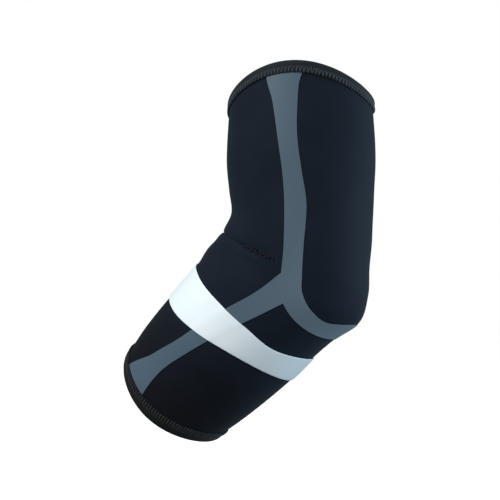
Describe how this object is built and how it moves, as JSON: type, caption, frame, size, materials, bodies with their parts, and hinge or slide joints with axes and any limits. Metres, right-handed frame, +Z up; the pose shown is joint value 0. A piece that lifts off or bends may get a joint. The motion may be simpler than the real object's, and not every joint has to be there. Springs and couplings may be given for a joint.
{
  "type": "elbow brace",
  "caption": "Pull-on neoprene elbow brace worn bent, open at both ends, with bound hems, a grey tension tape down the side and round the elbow, and a silver forearm band.",
  "frame": {"origin": "middle of the elbow, where the axis of the upper arm meets the axis of the forearm", "axes": "+Z up the axis of the upper arm, -X towards the crook of the elbow, +X out through its tip, so the forearm runs down and forward in the XZ plane; -Y is the side that faces the viewer"},
  "size_m": [0.1752, 0.0956, 0.246],
  "materials": {
    "neoprene": "navy-black jersey-faced neoprene, matte",
    "binding": "black knitted stretch binding, overlocked",
    "tension_tape": "slate grey bonded stretch film, matte",
    "silver_band": "silver-white coated elastic, satin"
  },
  "bodies": {
    "root": {"sleeve": "neoprene", "upper_binding": "binding", "lower_binding": "binding", "tension_tape": "tension_tape", "silver_band": "silver_band"}
  },
  "joints": []
}
